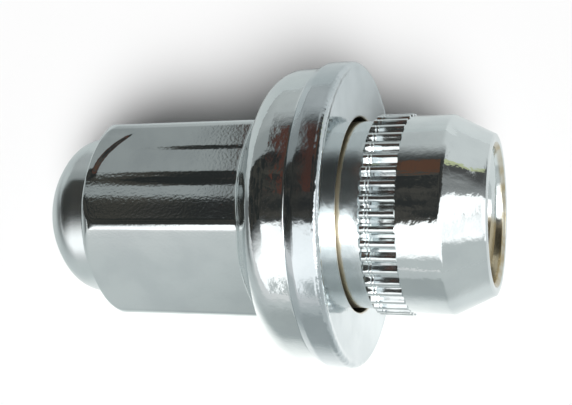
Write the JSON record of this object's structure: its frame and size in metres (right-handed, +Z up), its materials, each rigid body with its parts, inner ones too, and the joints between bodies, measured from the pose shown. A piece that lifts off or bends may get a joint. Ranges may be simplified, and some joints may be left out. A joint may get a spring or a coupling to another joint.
{
  "type": "lug nut",
  "caption": "Closed-end hex lug nut with a domed cap, round flange, captive flat washer, straight-knurled neck and tapered shank with a blind threaded hole.",
  "frame": {"origin": "centre of the bounding box, at the surface that the nut lies on", "axes": "+Z up; the nut lies on the edge of its flange and the end of one hex flat, with its axis in the XZ plane and its open end towards +X, about 13.5 degrees up"},
  "size_m": [0.0542, 0.0342, 0.0341],
  "materials": {
    "nut_plating": "bright decorative plating over forged steel",
    "washer_plating": "bright decorative plating over pressed steel"
  },
  "bodies": {
    "nut": {"nut_body": "nut_plating"},
    "washer": {"captive_washer": "washer_plating"}
  },
  "joints": [
    {"name": "washer_spin", "type": "hinge", "parent": "nut", "child": "washer", "pos_m": [0.00886, 0, 0.01714], "axis": [0.9731, 0, 0.2302], "continuous": true}
  ]
}
